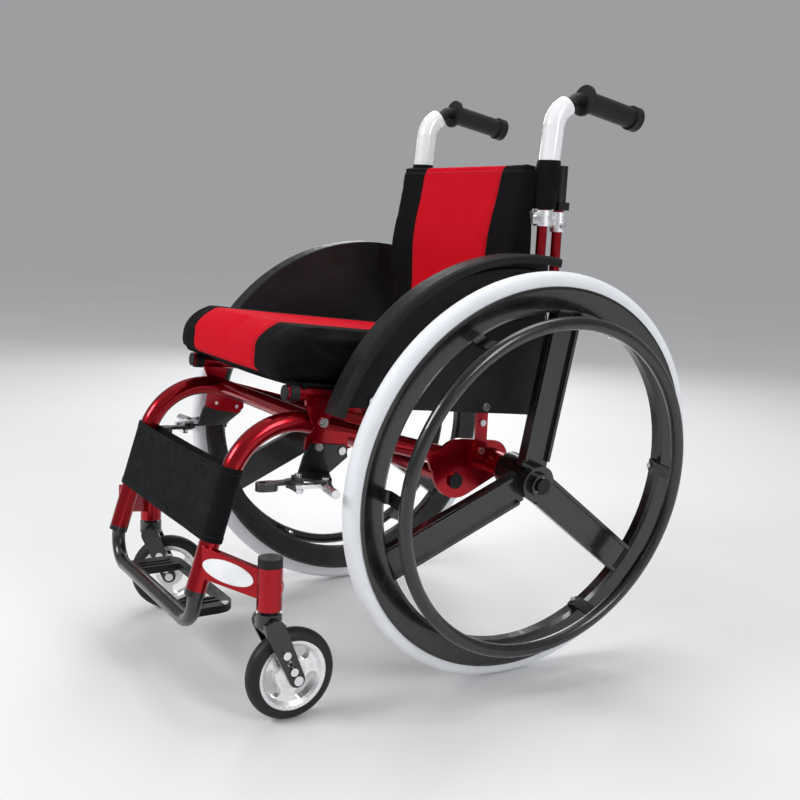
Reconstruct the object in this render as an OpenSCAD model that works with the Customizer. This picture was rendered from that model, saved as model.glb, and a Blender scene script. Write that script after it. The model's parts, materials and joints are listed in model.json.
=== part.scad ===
// Rigid-frame manual wheelchair with three-spoke rear wheels, a fold-down backrest and scissor brakes.
// +Z is up, the occupant faces -Y, and the left side is +X.

/* [Rear wheels] */
// Outside diameter of the rear tyres
wheel_d = 610; // [560:5:640]
// Width of the rear tyres
tyre_w = 25; // [22:1:28]
// Tilt of each rear wheel, tops inwards, in degrees
camber = 6; // [4:0.5:7]
// Distance from the centre line to the middle of each hub
hub_x = 272; // [268:1:290]
// Outside diameter of the handrims
handrim_d = 504; // [480:2:510]
// Diameter of the handrim tube
handrim_tube = 19; // [16:1:22]
// Distance from the wheel's middle plane to the handrim
handrim_out = 54; // [50:1:60]
// Turn of the upright spoke towards the rear, in degrees
spoke_turn = 6.5; // [0:0.5:50]

/* [Casters] */
// Outside diameter of the front wheels
caster_d = 126; // [120:1:127]
// Width of the front tyres
caster_w = 26; // [22:1:26]
// Distance from the swivel axis back to the caster's axle
trail = 32; // [28:1:34]
// Distance from the centre line to each swivel axis
caster_x = 234; // [228:1:240]
// Distance from the rear axle forward to the swivel axes
wheelbase = 390; // [380:1:400]
// Resting turn of the left caster, in degrees
left_turn = 2; // [-10:1:30]
// Resting turn of the right caster, in degrees
right_turn = 22; // [-10:1:30]

/* [Frame] */
// Diameter of the main side tubes
tube_d = 28; // [25:0.5:30]
// Wall thickness of the main tubes
wall = 2; // [1.5:0.1:2.5]
// Distance from the centre line to each side tube
frame_x = 165; // [160:1:168]
// Radius of the side tubes' large bend
knee_r = 95; // [90:1:98]
// Diameter of the footrest tube
foot_d = 20; // [18:0.5:21]
// Height of the footrest tube's middle
foot_z = 120; // [110:1:130]

/* [Seat] */
// Width of the cushion
cushion_w = 365; // [340:5:365]
// Thickness of the cushion
cushion_h = 74; // [50:1:76]
// Backward slope of the seat, in degrees
seat_slope = 5.5; // [4:0.5:6]

/* [Backrest] */
// Height of the push handles' bend above the floor
handle_z = 837; // [820:1:850]
// Diameter of the push-handle tubes
push_d = 32; // [28:1:34]
// Width of the backrest upholstery
back_w = 356; // [340:2:360]
// Height of the upholstery's top edge
back_top = 765; // [750:1:775]

/* [Hidden] */
$fn = 48;
eps = 0.01;
hair = 0.02;
bend_step = 0.4;

// Everything below is placed from the rear axle line, which lies axle_y behind the origin.
axle_y = 87.5;
tyre_r = tyre_w / 2;
tyre_mid_r = wheel_d / 2 - tyre_r;
hub_z = tyre_mid_r * cos(camber) + tyre_r;
seat_r = wheel_d / 2 - 21;
rim_r = seat_r + 2;
rim_inner_r = 248;
rim_half = tyre_r + 3.5;
axle_r = 6.35;
button_r = 3.5;
running = 0.05;
handrim_r = handrim_d / 2 - handrim_tube / 2;
tab_count = 6;
spoke_count = 3;
spoke_w = 46;
hub_in = -46;
hub_out = 25;
hub_r = 27;
hub_cap_r = 17.5;
hub_cap_h = 8;
bearing_h = 11;

// Side tube, as [forward position, height] along its middle line
tube_foot = [-465, 171];
tube_knee = [-395, 411.4];
tube_tail = [-10, 303];
tube_r = tube_d / 2;
cross_d = 25;
front_cross = [-296, 386];
rear_cross = [-66, 286];
plate_x = frame_x + tube_r - 4;
plate_t = 6;
fit_gap = 0.04;
receiver_r = 18;
receiver_in = -108;
receiver_out = -48;
mount_t = 5;
mount_x = frame_x + tube_r - 1.5;
saddle_x = mount_x + mount_t + 0.05;
saddle_bolt = [-295, 390];
mount_bolts = [[-300, 356], [-264, 348]];
bracket_t = 4;

// Seat rails
rail_x = 172;
rail_d = 22;
rail_front = [-345, 431.5];
rail_rear = [46, 431.5 - 391 * tan(seat_slope)];
rail_r = rail_d / 2;
guard_bolts = [-235, -42];
back_bolts = [[4, 403], [34, 400]];
strut_bolts = [[-24, 372], [-24, 329]];
strut_x = rail_x + rail_r - 1.95;
sling_t = 3;

// Caster parts
housing_r = 17;
housing_low = 156;
housing_top = 214;
stem_r = 6;
bearing_r = 14;
caster_rim_r = 48;
caster_axle_r = 4;
arm_in = 20;
arm_out = 26;
hole_step = 12;
hole_count = 4;
crown_low = 129;
crown_top = 152;

// Guards
guard_r = 324;
guard_x = 211;
guard_t = 5;
flange_out = 247;

// Backrest
pivot = [75, 530];
pivot_r = 5;
cane_x = 176;
cane_d = 16;
post_back = 29.5;
clamp_z = 668;
clamp_h = 24;
pinch = [pivot[0] - 16, clamp_z + clamp_h / 2];
cover_low = 512;
cover_front = 42;
cover_t = 22;

// Brakes: lever pivot, shoe pivot, and the shoe's bar
lever_pivot = [200, -336];
shoe_pivot = [232, -312];
lever_crank = 12;
shoe_crank = 36;
lever_travel = 45;
shoe_travel = 15;
shelf_z = 318;
plate_gap = 0.5;
lever_t = 5;
lever_z = shelf_z - plate_gap - lever_t;
link_t = 4.5;
link_z = lever_z - 0.6 - link_t;
pin_r = 2.5;
pivot_pin_r = 3;

function unit(v) = v / norm(v);
function turn_angle(a, b, c) = acos(max(-1, min(1, unit(b - a) * unit(c - b))));
function set_back(a, b, c, r) = r * tan(turn_angle(a, b, c) / 2);
function on_side(p, x = frame_x) = [x, p[0], p[1]];
function rail_z(y) = rail_front[1] - (y - rail_front[0]) * tan(seat_slope);

// Places a left-hand part, or mirrors it for the right-hand side when s is -1.
module chair(s = 1) {
    translate([0, axle_y, 0]) mirror([s < 0 ? 1 : 0, 0, 0]) children();
}

// Wheel space: z runs outwards along the axle, and -x points up.
module wheel_space(s) {
    chair(s) translate([hub_x, 0, hub_z]) rotate([0, 90 + camber, 0]) children();
}

// Caster space: z is the swivel axis, and +y is where the wheel trails.
module caster_space(s) {
    turn = s > 0 ? left_turn : right_turn;
    translate([s * caster_x, axle_y - wheelbase, 0]) rotate([0, 0, -turn]) children();
}

// A round bar from point a to point b.
module rod(a, b, d) {
    v = b - a;
    translate(a) rotate([0, acos(v[2] / norm(v)), atan2(v[1], v[0])]) cylinder(h = norm(v), d = d);
}

// Unit direction from point i towards the inside of the bend there.
function inward(points, i) =
    let (u = unit(points[i] - points[i - 1]), w = unit(points[i + 1] - points[i]))
    unit(w - (w * u) * u);

function bend_angle(points, i) = turn_angle(points[i - 1], points[i], points[i + 1]);

// Turn about the bar that brings one bend's plane round to the next one's.
function twist(points, i) =
    i + 2 > len(points) - 1 ? 0
    : let (
        u = unit(points[i] - points[i - 1]),
        n = inward(points, i),
        a = bend_angle(points, i),
        x = n * cos(a) - u * sin(a),
        y = cross(u, n),
        next = inward(points, i + 1)
    ) atan2(next * y, next * x);

// Moves from the start of a bend to its end: the bend's centre is r away along x.
module past_bend(r, a) {
    translate([r, 0, 0]) rotate([0, a, 0]) translate([-r, 0, 0]) children();
}

// A round profile, hollow unless bore is 0.
module round2d(d, bore) {
    difference() {
        circle(d = d);
        if (bore > 0) circle(d = bore);
    }
}

// A bend has slightly thicker walls than the straight runs, which reach into it.
module bend(r, a, d, bore) {
    difference() {
        multmatrix([[-1, 0, 0, r], [0, 0, 1, 0], [0, 1, 0, 0], [0, 0, 0, 1]])
            rotate_extrude(angle = a + 3) translate([r, 0]) 
                round2d(d + bend_step, bore > 0 ? bore - bend_step : 0);
        past_bend(r, a) translate([-d, -d, 0]) cube([2 * d, 2 * d, (r + d) * 0.1]);
    }
}

// Straight run up to point i, then everything after it.
module bar_from(points, radii, d, bore, i) {
    last = len(points) - 1;
    before = i == 1 ? 0 : set_back(points[i - 2], points[i - 1], points[i], radii[i - 1]);
    after = i == last ? 0 : set_back(points[i - 1], points[i], points[i + 1], radii[i]);
    run = norm(points[i] - points[i - 1]) - before - after;
    low = i == 1 ? 0 : hair;
    high = i == last ? 0 : hair;
    translate([0, 0, -low]) linear_extrude(run + low + high) round2d(d, bore);
    if (i < last) translate([0, 0, run]) {
        bend(radii[i], bend_angle(points, i), d, bore);
        past_bend(radii[i], bend_angle(points, i)) rotate([0, 0, twist(points, i)])
            bar_from(points, radii, d, bore, i + 1);
    }
}

// A round bar or tube along points, with a bend of the given radius at each inner point.
module bent_rod(points, radii, d, bore = 0) {
    u = unit(points[1] - points[0]);
    n = inward(points, 1);
    y = cross(u, n);
    multmatrix([
        [n[0], y[0], u[0], points[0][0]],
        [n[1], y[1], u[1], points[0][1]],
        [n[2], y[2], u[2], points[0][2]],
        [0, 0, 0, 1]
    ])
        bar_from(points, radii, d, bore, 1);
}

module bent_tube(points, radii, d, t = wall) {
    bent_rod(points, radii, d, d - 2 * t);
}

module ring(r_out, r_in, h) {
    difference() {
        cylinder(h = h, r = r_out);
        translate([0, 0, -1]) cylinder(h = h + 2, r = r_in);
    }
}

// Outline that wraps two circles: a strap between p and q.
module strap2d(p, q, r1, r2) {
    v = q - p;
    lean = acos((r1 - r2) / norm(v));
    base = atan2(v[1], v[0]);
    a = [cos(base + lean), sin(base + lean)];
    b = [cos(base - lean), sin(base - lean)];
    translate(p) circle(r1);
    translate(q) circle(r2);
    polygon([p + (r1 - hair) * a, q + (r2 - hair) * a, q + (r2 - hair) * b, p + (r1 - hair) * b]);
}

// A plate in the forward-and-up plane: 2D x becomes y, 2D y becomes z, from x0 for thickness t.
module side_plate(x0, t) {
    translate([x0, 0, 0]) rotate([90, 0, 90]) linear_extrude(t) children();
}

// A dome-headed bolt along x at [x, y, z] of its seat, with the shank going inwards.
module bolt(seat, head = 5, shank = 3, length = 8) {
    translate(seat) rotate([0, 90, 0]) {
        cylinder(h = head * 0.6, r = head);
        translate([0, 0, -length]) cylinder(h = length + eps, r = shank);
    }
}

/* Frame */

module straight_tail(d) {
    rod(on_side(tube_knee), on_side(tube_tail + [14, -4]), d);
}

module steep_front(d) {
    rod(on_side(tube_foot), on_side(tube_knee), d);
}

module receiver(r, from = receiver_in, to = receiver_out) {
    translate([hub_x, 0, hub_z]) rotate([0, 90 + camber, 0])
        translate([0, 0, from]) cylinder(h = to - from, r = r);
}

module cross_holes(points, r = 3) {
    for (p = points) translate(on_side(p, frame_x - 30)) rotate([0, 90, 0]) cylinder(h = 90, r = r);
}

module brake_mount2d() {
    polygon([[-319, 352], [-316, 370], [-296, 381], [-252, 372], [-252, 345], [-262, 337], [-300, 344]]);
}

module side_tube(s) {
    color("crimson") chair(s) difference() {
        union() {
            bent_tube([on_side(tube_foot), on_side(tube_knee), on_side(tube_tail)], [0, knee_r, 0], tube_d);
            side_plate(mount_x, mount_t) brake_mount2d();
        }
        cross_holes(concat(mount_bolts, [saddle_bolt]));
        receiver(receiver_r + fit_gap);
    }
}

module front_cross_tube() {
    color("crimson") chair() difference() {
        rod(on_side(front_cross, -frame_x), on_side(front_cross), cross_d);
        rod(on_side(front_cross, -frame_x - 1), on_side(front_cross, frame_x + 1), cross_d - 2 * wall);
        for (s = [-1, 1]) mirror([s < 0 ? 1 : 0, 0, 0]) straight_tail(tube_d + 2 * fit_gap);
    }
}

rear_cross_x = plate_x + plate_t + 2;

module rear_cross_tube() {
    color("crimson") chair() difference() {
        rod(on_side(rear_cross, -rear_cross_x), on_side(rear_cross, rear_cross_x), cross_d);
        rod(on_side(rear_cross, -rear_cross_x - 1), on_side(rear_cross, rear_cross_x + 1),
            cross_d - 2 * wall);
    }
}

module cross_tube_caps() {
    for (s = [-1, 1]) chair(s) {
        rod(on_side(rear_cross, rear_cross_x), on_side(rear_cross, rear_cross_x + 3), cross_d - 2);
        rod(on_side(rear_cross, rear_cross_x - 12), on_side(rear_cross, rear_cross_x + 1),
            cross_d - 2 * wall);
    }
}

module saddle2d() {
    top = rail_z(-300);
    polygon([[-322, top + 4], [-278, top + 2], [-279, top - 12], [-288, 382], [-308, 382], [-321, top - 12]]);
}

module rail_bar(d, extra = 0) {
    u = unit(on_side(rail_rear) - on_side(rail_front));
    rod(on_side(rail_front, rail_x) - u * extra, on_side(rail_rear, rail_x) + u * extra, d);
}

// Each rail with its front saddle and the flat strut down to the axle plate.
module seat_rails() {
    color("crimson") for (s = [-1, 1]) chair(s) difference() {
        union() {
            rail_bar(rail_d);
            side_plate(saddle_x, mount_t) saddle2d();
            side_plate(strut_x, mount_t) strap2d([-24, rail_z(-24) - 4], strut_bolts[1], 10, 10);
        }
        rail_bar(rail_d - 2 * wall, 1);
        cross_holes(concat([saddle_bolt], strut_bolts, back_bolts));
        cross_holes([for (y = guard_bolts) [y, rail_z(y)]]);
    }
}

// Black clips round the rails and plugs in their front ends.
module rail_trim() {
    u = unit(on_side(rail_rear) - on_side(rail_front));
    start = on_side(rail_front, rail_x);
    for (s = [-1, 1]) chair(s) {
        difference() {
            rod(start + 3 * u, start + 16 * u, rail_d + 4);
            rod(start, start + 20 * u, rail_d);
        }
        rod(start - 2.5 * u, start, rail_d - 1);
        rod(start - 1 * u, start + 10 * u, rail_d - 2 * wall);
    }
}

module axle_plate(s) {
    color("crimson") chair(s) difference() {
        union() {
            side_plate(plate_x, plate_t) {
                strap2d([-60, 304], [2, 314], 45, 28);
                polygon([[-118, 331], [-108, 304], [-60, 300], [-20, 322], [-20, 333], [-60, 342]]);
            }
            receiver(receiver_r);
        }
        receiver(axle_r + running, receiver_in - 1, receiver_out + 1);
        rod(on_side(rear_cross, frame_x), on_side(rear_cross, frame_x + 60), cross_d);
        difference() {
            straight_tail(tube_d + 2 * fit_gap);
            receiver(receiver_r + fit_gap / 2);
        }
        cross_holes([strut_bolts[1]]);
    }
}

gusset_high = [172, -457, 212];
gusset_low = [caster_x, -wheelbase, 187];
gusset_run = gusset_low - gusset_high;
gusset_span = norm([gusset_run[0], gusset_run[1]]);
gusset_front = 8;
gusset_back = -2;

// Local x runs outwards along the web, y is up, and z points to the web's outer face.
module gusset_space() {
    translate(gusset_high) rotate([90, 0, atan2(gusset_run[1], gusset_run[0])]) children();
}

module caster_housing(s) {
    color("crimson") chair(s) difference() {
        union() {
            translate([caster_x, -wheelbase, housing_low])
                cylinder(h = housing_top - housing_low, r = housing_r);
            gusset_space() translate([0, 0, gusset_back]) linear_extrude(gusset_front - gusset_back)
                strap2d([0, 0], [gusset_span, gusset_run[2]], 21, 19);
        }
        translate([caster_x, -wheelbase, housing_low - 1])
            cylinder(h = housing_top - housing_low + 40, r = bearing_r);
        steep_front(tube_d + 2 * fit_gap);
        gusset_space() translate([-40, -40, gusset_back - 1])
            cube([40, 80, gusset_front - gusset_back + 2]);
    }
}

module gusset_badges() {
    badge = [36, 14.5];
    tilt = atan2(gusset_run[2], gusset_span);
    rim = [for (a = [0:7.5:352.5]) [badge[0] * cos(a), badge[1] * sin(a)]];
    color("white") for (s = [-1, 1]) chair(s) gusset_space()
        translate([gusset_span * 0.4, gusset_run[2] * 0.4, gusset_front]) rotate([0, 0, tilt])
            linear_extrude(1.5) polygon(rim);
}

module housing_caps() {
    for (s = [-1, 1]) chair(s)
        translate([caster_x, -wheelbase, housing_top]) difference() {
            cylinder(h = 12, r = housing_r - 0.5);
            translate([0, 0, -1]) cylinder(h = 10, r = 11);
        }
}

// Black plastic caps, plugs and clips of the frame.
module frame_caps() {
    color([0.1, 0.1, 0.1]) {
        cross_tube_caps();
        rail_trim();
        housing_caps();
    }
}

module swivel_bearings() {
    color("silver") for (s = [-1, 1], z = [housing_low, housing_top - 9])
        chair(s) translate([caster_x, -wheelbase, z]) ring(bearing_r, stem_r + running, 9);
}

// U-shaped tube whose legs plug into the side tubes.
module footrest_tube() {
    u = unit(on_side(tube_knee) - on_side(tube_foot));
    top = on_side(tube_foot) - 3 * u;
    low = [frame_x, -468, foot_z];
    points = [top, low, [-low[0], low[1], low[2]], [-top[0], top[1], top[2]]];
    bush_d = tube_d - 2 * wall;
    color([0.12, 0.12, 0.12]) chair() difference() {
        union() {
            bent_tube(points, [0, 40, 40, 0], foot_d, 1.8);
            for (s = [-1, 1]) mirror([s < 0 ? 1 : 0, 0, 0]) {
                rod(top + 0.5 * u, on_side(tube_foot) + 45 * u, bush_d);
                rod(top - 5 * u, on_side(tube_foot), tube_d);
            }
        }
        translate([0, low[1], foot_z - foot_d]) cylinder(h = foot_d, r = 2);
    }
}

// Slotted footplate behind the footrest tube.
module footplate() {
    half = 121;
    back = -386;
    front = -468;
    corner = 26;
    bar = 12;
    thick = 11;
    window = back - front - 2 * bar;
    color([0.1, 0.1, 0.1]) chair() difference() {
        translate([0, 0, foot_z - thick / 2]) linear_extrude(thick) difference() {
            union() {
                translate([-half, front]) square([2 * half, back - front - corner]);
                translate([-half + corner, front]) square([2 * (half - corner), back - front]);
                for (s = [-1, 1]) translate([s * (half - corner), back - corner]) circle(corner);
            }
            translate([-78, front + bar]) square([156, window]);
            for (s = [-1, 1], x = [88, 100]) translate([s * x - 3.5, front + bar]) square([7, window - 6]);
        }
        translate([-frame_x, -468, foot_z])
            rotate([0, 90, 0]) cylinder(h = 2 * frame_x, d = foot_d + fit_gap);
        for (s = [-1, 1]) translate([s * 115, -402, 0]) cylinder(h = 400, r = 2.5 + fit_gap);
    }
}

module long_slot2d(half, r) {
    square([2 * half, 2 * r], center = true);
    for (s = [-1, 1]) translate([s * half, 0]) circle(r);
}

// Fabric sleeve round both front tubes.
module calf_strap() {
    lean = atan2(tube_knee[0] - tube_foot[0], tube_knee[1] - tube_foot[1]);
    start = 67;
    height = 102;
    skin = 2.4;
    color([0.1, 0.1, 0.12]) chair() difference() {
        translate([0, tube_foot[0], tube_foot[1]]) rotate([-lean, 0, 0])
            translate([0, 0, start]) linear_extrude(height) difference() {
                long_slot2d(frame_x, tube_r + 0.1 + skin);
                long_slot2d(frame_x, tube_r + 0.1);
            }
        for (x = [-frame_x, frame_x])
            bent_rod([on_side(tube_foot, x), on_side(tube_knee, x), on_side(tube_tail, x)],
                [0, knee_r, 0], tube_d + 0.16);
    }
}

module seat_space(lift) {
    chair() translate([0, rail_front[0], rail_front[1]]) rotate([-seat_slope, 0, 0])
        translate([0, 0, rail_r + lift]) children();
}

module seat_sling() {
    color([0.12, 0.12, 0.14]) seat_space(0.05)
        translate([-rail_x - 10, 20, 0]) cube([2 * rail_x + 20, 338, sling_t]);
}

// Side view of the cushion: soft front nose, square rear.
module cushion2d() {
    long = 382;
    nose = 30;
    soft = 14;
    translate([nose, 0]) square([long - nose - soft, cushion_h]);
    translate([0, soft]) square([long, cushion_h - nose - soft]);
    translate([nose, cushion_h - nose]) circle(nose);
    translate([soft, soft]) circle(soft);
    translate([soft, 0]) square([nose - soft + 1, cushion_h - nose]);
    translate([long - soft, cushion_h - soft]) circle(soft);
    translate([long - soft - 1, 0]) square([soft + 1, cushion_h - soft]);
}

module seat_cushion() {
    color("red") seat_space(0.1 + sling_t) translate([-cushion_w / 2, -16, 0])
        rotate([90, 0, 90]) linear_extrude(cushion_w) cushion2d();
}

/* Side guards */

guard_start = 19;
guard_end = 101;
lip = 13;

// Turns a profile drawn as [radius, x] about the wheel's centre line.
// Angles run from straight ahead, over the top, towards the rear.
module guard_sweep(from, to) {
    translate([0, 0, hub_z]) multmatrix([
        [0, 0, 1, 0],
        [-cos(to), -sin(to), 0, 0],
        [sin(to), -cos(to), 0, 0],
        [0, 0, 0, 1]
    ])
        rotate_extrude(angle = to - from, $fn = 96) children();
}

module guard_panel2d() {
    intersection() {
        translate([0, hub_z]) circle(guard_r - 2, $fn = 96);
        union() {
            polygon([[-272, 414], [60, 384], [60, 700], [-330, 700], [-330, 440], [-292, 432]]);
            translate([-278, 432]) circle(18);
        }
    }
}

module guard_flange2d() {
    low = guard_r - lip;
    polygon([
        [guard_r - 5, guard_x], [guard_r - 1, guard_x], [guard_r, guard_x + 3], [guard_r, flange_out - 3],
        [guard_r - 3, flange_out], [low, flange_out], [low, flange_out - 3.5], [guard_r - 5, flange_out - 4]
    ]);
}

module side_guard(s) {
    color([0.09, 0.09, 0.1]) chair(s) difference() {
        union() {
            side_plate(guard_x, guard_t) guard_panel2d();
            guard_sweep(guard_start, guard_end) guard_flange2d();
            guard_sweep(guard_start + 12, guard_end - 4)
                translate([300, guard_x + guard_t]) circle(4, $fn = 24);
            for (y = guard_bolts)
                rod([rail_x + rail_r, y, rail_z(y)], [guard_x + 1, y, rail_z(y)], 13);
        }
        cross_holes([for (y = guard_bolts) [y, rail_z(y)]]);
    }
}

/* Backrest */

module post(dy, top, extra = 0) {
    rod([cane_x, pivot[0] + dy, pivot[1] + 32], [cane_x, pivot[0] + dy + 3, top], cane_d + extra);
}

// The push tube's straight part, run down through the clamp.
module push_space(extra) {
    rod(push_low - [0, 1.8, 20], push_bend, push_d + extra);
}

module back_brackets() {
    cheek = 22;
    color([0.1, 0.1, 0.1]) for (s = [-1, 1]) chair(s) difference() {
        union() {
            side_plate(rail_x + rail_r, 4) strap2d([0, 401], [40, 398], 13, 13);
            rod([cane_x, 54, 396], [cane_x, pivot[0] - 1, pivot[1] - 34], cheek);
            translate([cane_x - cheek / 2, pivot[0] - 13, pivot[1] - 44]) cube([cheek, 26, 44]);
            translate([cane_x - cheek / 2, pivot[0], pivot[1]])
                rotate([0, 90, 0]) cylinder(h = cheek, r = 13);
        }
        translate([cane_x - 5.4, pivot[0] - 20, pivot[1] - 17]) cube([10.8, 40, 40]);
        cross_holes([pivot], pivot_r);
        cross_holes(back_bolts);
        rail_bar(rail_d + fit_gap, 3);
    }
}

module back_cane(s) {
    foot = pivot[1] + 20;
    color("crimson") chair(s) {
        difference() {
            union() {
                side_plate(cane_x - 5, 10) strap2d(pivot, pivot + [8, 22], 13, 12);
                translate([cane_x - 9, pivot[0] - 9, foot]) cube([18, post_back + 18, 12.5]);
            }
            cross_holes([pivot], pivot_r + running);
        }
        difference() {
            post(0, 752);
            post_bore(0);
        }
        difference() {
            post(post_back, 756);
            post_bore(post_back);
        }
    }
}

module post_bore(dy) {
    rod([cane_x, pivot[0] + dy + 0.1, pivot[1] + 34], [cane_x, pivot[0] + dy + 3.1, 760], cane_d - 4);
}

module post_sleeves() {
    y = pivot[0] + post_back;
    low = clamp_z + clamp_h + 1;
    color([0.12, 0.12, 0.12]) for (s = [-1, 1]) chair(s) difference() {
        union() {
            rod([cane_x, y + 2, low], [cane_x, y + 3, 760], cane_d + 5);
            translate([cane_x - 11, y - 6, low]) cube([22, 20, 12]);
        }
        post(post_back, 756);
        push_space(0.4);
    }
}

module cane_clamps() {
    y = pivot[0];
    color("silver") for (s = [-1, 1]) chair(s) difference() {
        union() {
            translate([cane_x, y + 2, clamp_z]) cylinder(h = clamp_h, r = 15);
            translate([cane_x, y + post_back + 2, clamp_z - 8]) cylinder(h = clamp_h + 6, r = 12);
            translate([cane_x - 7, y, clamp_z + 2]) cube([14, post_back, clamp_h - 4]);
            translate([cane_x - 7, y - 22, clamp_z + 3]) cube([14, 24, clamp_h - 6]);
        }
        post(0, 752);
        post(post_back, 756);
        translate([cane_x - 20, pinch[0], pinch[1]]) rotate([0, 90, 0]) cylinder(h = 40, r = 3);
        translate([cane_x - 1, y - 30, clamp_z - 1]) cube([2, 24, clamp_h + 2]);
    }
}

push_low = [cane_x, pivot[0] + 2, clamp_z + clamp_h + 1.7];
push_bend = [cane_x, 90, handle_z];
push_end = [cane_x, 111, handle_z + 13];
neck_bend = [cane_x, 131, handle_z + 26];
grip_start = [cane_x, 142, handle_z + 24.5];
grip_end = [cane_x, 254, handle_z + 4];

module push_tube(s) {
    color([0.93, 0.93, 0.93]) chair(s)
        bent_tube([push_low, push_bend, push_end], [0, 40, 0], push_d, 2);
}

module grip_ring(at, toward, r, h) {
    rod(at, at + unit(toward - at) * h, 2 * r);
}

module grip(s) {
    along = unit(grip_end - grip_start);
    color([0.13, 0.13, 0.13]) chair(s) {
        bent_rod([push_end - [0, 7, 4.5], neck_bend, grip_start + along * 3], [0, 14, 0], 19);
        grip_ring(grip_start, grip_end, 24, 5);
        rod(grip_start + along * 4, grip_end - along * 12, 33);
        grip_ring(grip_end - along * 14, grip_end, 19.5, 14);
    }
}

cover_wide_z = pivot[1] + 36;

module back_upholstery() {
    pocket_d = push_d + 6;
    pocket_low = clamp_z + clamp_h + 1;
    narrow_w = 2 * (cane_x - 14);
    hem_h = clamp_z - 14 - cover_wide_z;
    color("red") chair() difference() {
        union() {
            translate([-narrow_w / 2, cover_front, cover_low]) cube([narrow_w, cover_t, 60]);
            translate([-back_w / 2, cover_front, cover_wide_z])
                cube([back_w, cover_t, back_top - cover_wide_z]);
            for (s = [-1, 1]) {
                rod([s * cane_x, pivot[0] + 2.5, pocket_low], [s * cane_x, 83, back_top + 2], pocket_d);
                translate([s * (cane_x - 8) - 10, cover_front + 1, cover_wide_z])
                    cube([20, cover_t + 10, hem_h]);
            }
        }
        for (s = [-1, 1]) mirror([s < 0 ? 1 : 0, 0, 0]) {
            push_space(fit_gap);
            post(0, 752, 0.3);
            translate([cane_x - 16, cover_front + 10, clamp_z - 10]) cube([30, 40, clamp_h + 10.5]);
            rod([cane_x, pivot[0] + post_back, 600], [cane_x, pivot[0] + post_back + 3.5, 780], cane_d + 6);
        }
    }
}

module clamp_bolts() {
    color("silver") for (s = [-1, 1]) chair(s) {
        translate([cane_x - 11, pinch[0], pinch[1]]) rotate([0, 90, 0]) cylinder(h = 22, r = 2.95);
        for (x = [cane_x - 11.05, cane_x + 7.05])
            translate([x, pinch[0], pinch[1]]) rotate([0, 90, 0]) cylinder(h = 4, r = 4.4);
        for (x = [cane_x - 16, cane_x + 12])
            translate([x, pivot[0] + post_back + 2, clamp_z + 2]) rotate([0, 90, 0]) cylinder(h = 4, r = 5);
    }
}

/* Rear wheels */

module spoke2d(w) {
    polygon([[20, -w / 2], [rim_inner_r + 3, -w / 2 - 1], [rim_inner_r + 3, w / 2 + 1], [20, w / 2]]);
}

module wheel(s) {
    color([0.07, 0.07, 0.08]) wheel_space(s) difference() {
        union() {
            rotate_extrude($fn = 120) polygon([
                [rim_inner_r, -6], [rim_inner_r + 5, -10], [rim_r - 4, -rim_half],
                [rim_r, -rim_half + 1], [rim_r, -tyre_r], [seat_r, -tyre_r],
                [seat_r, tyre_r], [rim_r, tyre_r], [rim_r, rim_half - 1],
                [rim_r - 4, rim_half], [rim_inner_r + 5, 12], [rim_inner_r, 8]
            ]);
            for (i = [0:spoke_count - 1]) rotate([0, 0, 180 - spoke_turn + i * 360 / spoke_count]) {
                translate([0, 0, -5]) linear_extrude(12) spoke2d(spoke_w);
                for (edge = [-1, 1])
                    translate([30, edge * (spoke_w / 2 - 2.5) - 2.5, 5]) cube([rim_inner_r - 28, 5, 7]);
            }
            translate([0, 0, hub_in]) cylinder(h = hub_out - hub_in, r = hub_r);
            translate([0, 0, hub_out - 1]) cylinder(h = hub_cap_h + 1, r = hub_cap_r);
        }
        translate([0, 0, hub_in - 1]) cylinder(h = 100, r = 9);
        translate([0, 0, hub_in - 1]) cylinder(h = 1 + bearing_h, r = bearing_r);
        translate([0, 0, hub_out - bearing_h]) cylinder(h = bearing_h, r = bearing_r);
        translate([0, 0, hub_out - 1]) cylinder(h = 20, r = 13);
    }
}

module tyre(s) {
    color([0.9, 0.9, 0.9]) wheel_space(s) rotate_extrude($fn = 120) {
        intersection() {
            translate([tyre_mid_r, 0]) circle(tyre_r, $fn = 48);
            translate([tyre_mid_r, -tyre_r]) square([tyre_r + 1, tyre_w]);
        }
        translate([seat_r, -tyre_r]) square([tyre_mid_r - seat_r, tyre_w]);
    }
}

module handrim_tab() {
    tab_r = rim_inner_r - 0.2;
    rotate([90, 0, 0]) translate([0, 0, -9]) linear_extrude(18)
        polygon([
            [tab_r, -4], [tab_r, 7], [rim_inner_r - 4.5, 12],
            [handrim_r + 1, handrim_out - 8], [handrim_r - 4, handrim_out - 8],
            [rim_inner_r - 9, 10], [rim_inner_r - 4.5, 4], [rim_inner_r - 4.5, -4]
        ]);
}

module handrim(s) {
    color([0.05, 0.05, 0.05]) wheel_space(s) {
        difference() {
            union() {
                translate([0, 0, handrim_out]) rotate_extrude($fn = 120)
                    translate([handrim_r, 0]) circle(d = handrim_tube);
                for (i = [0:tab_count - 1]) rotate([0, 0, 90 + i * 360 / tab_count]) handrim_tab();
            }
            translate([0, 0, handrim_out]) rotate_extrude($fn = 120)
                translate([handrim_r, 0]) circle(d = handrim_tube - 4);
        }
    }
}

module handrim_bolts(s) {
    color("silver") wheel_space(s)
        for (i = [0:tab_count - 1]) rotate([0, 0, 90 + i * 360 / tab_count])
            translate([rim_inner_r - 4.55, 0, 0]) rotate([0, -90, 0]) cylinder(h = 4, r = 3.9);
}

module hub_bearings(s) {
    color("silver") wheel_space(s) for (z = [hub_in, hub_out - bearing_h])
        translate([0, 0, z]) ring(bearing_r, axle_r + running, bearing_h);
}

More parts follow.
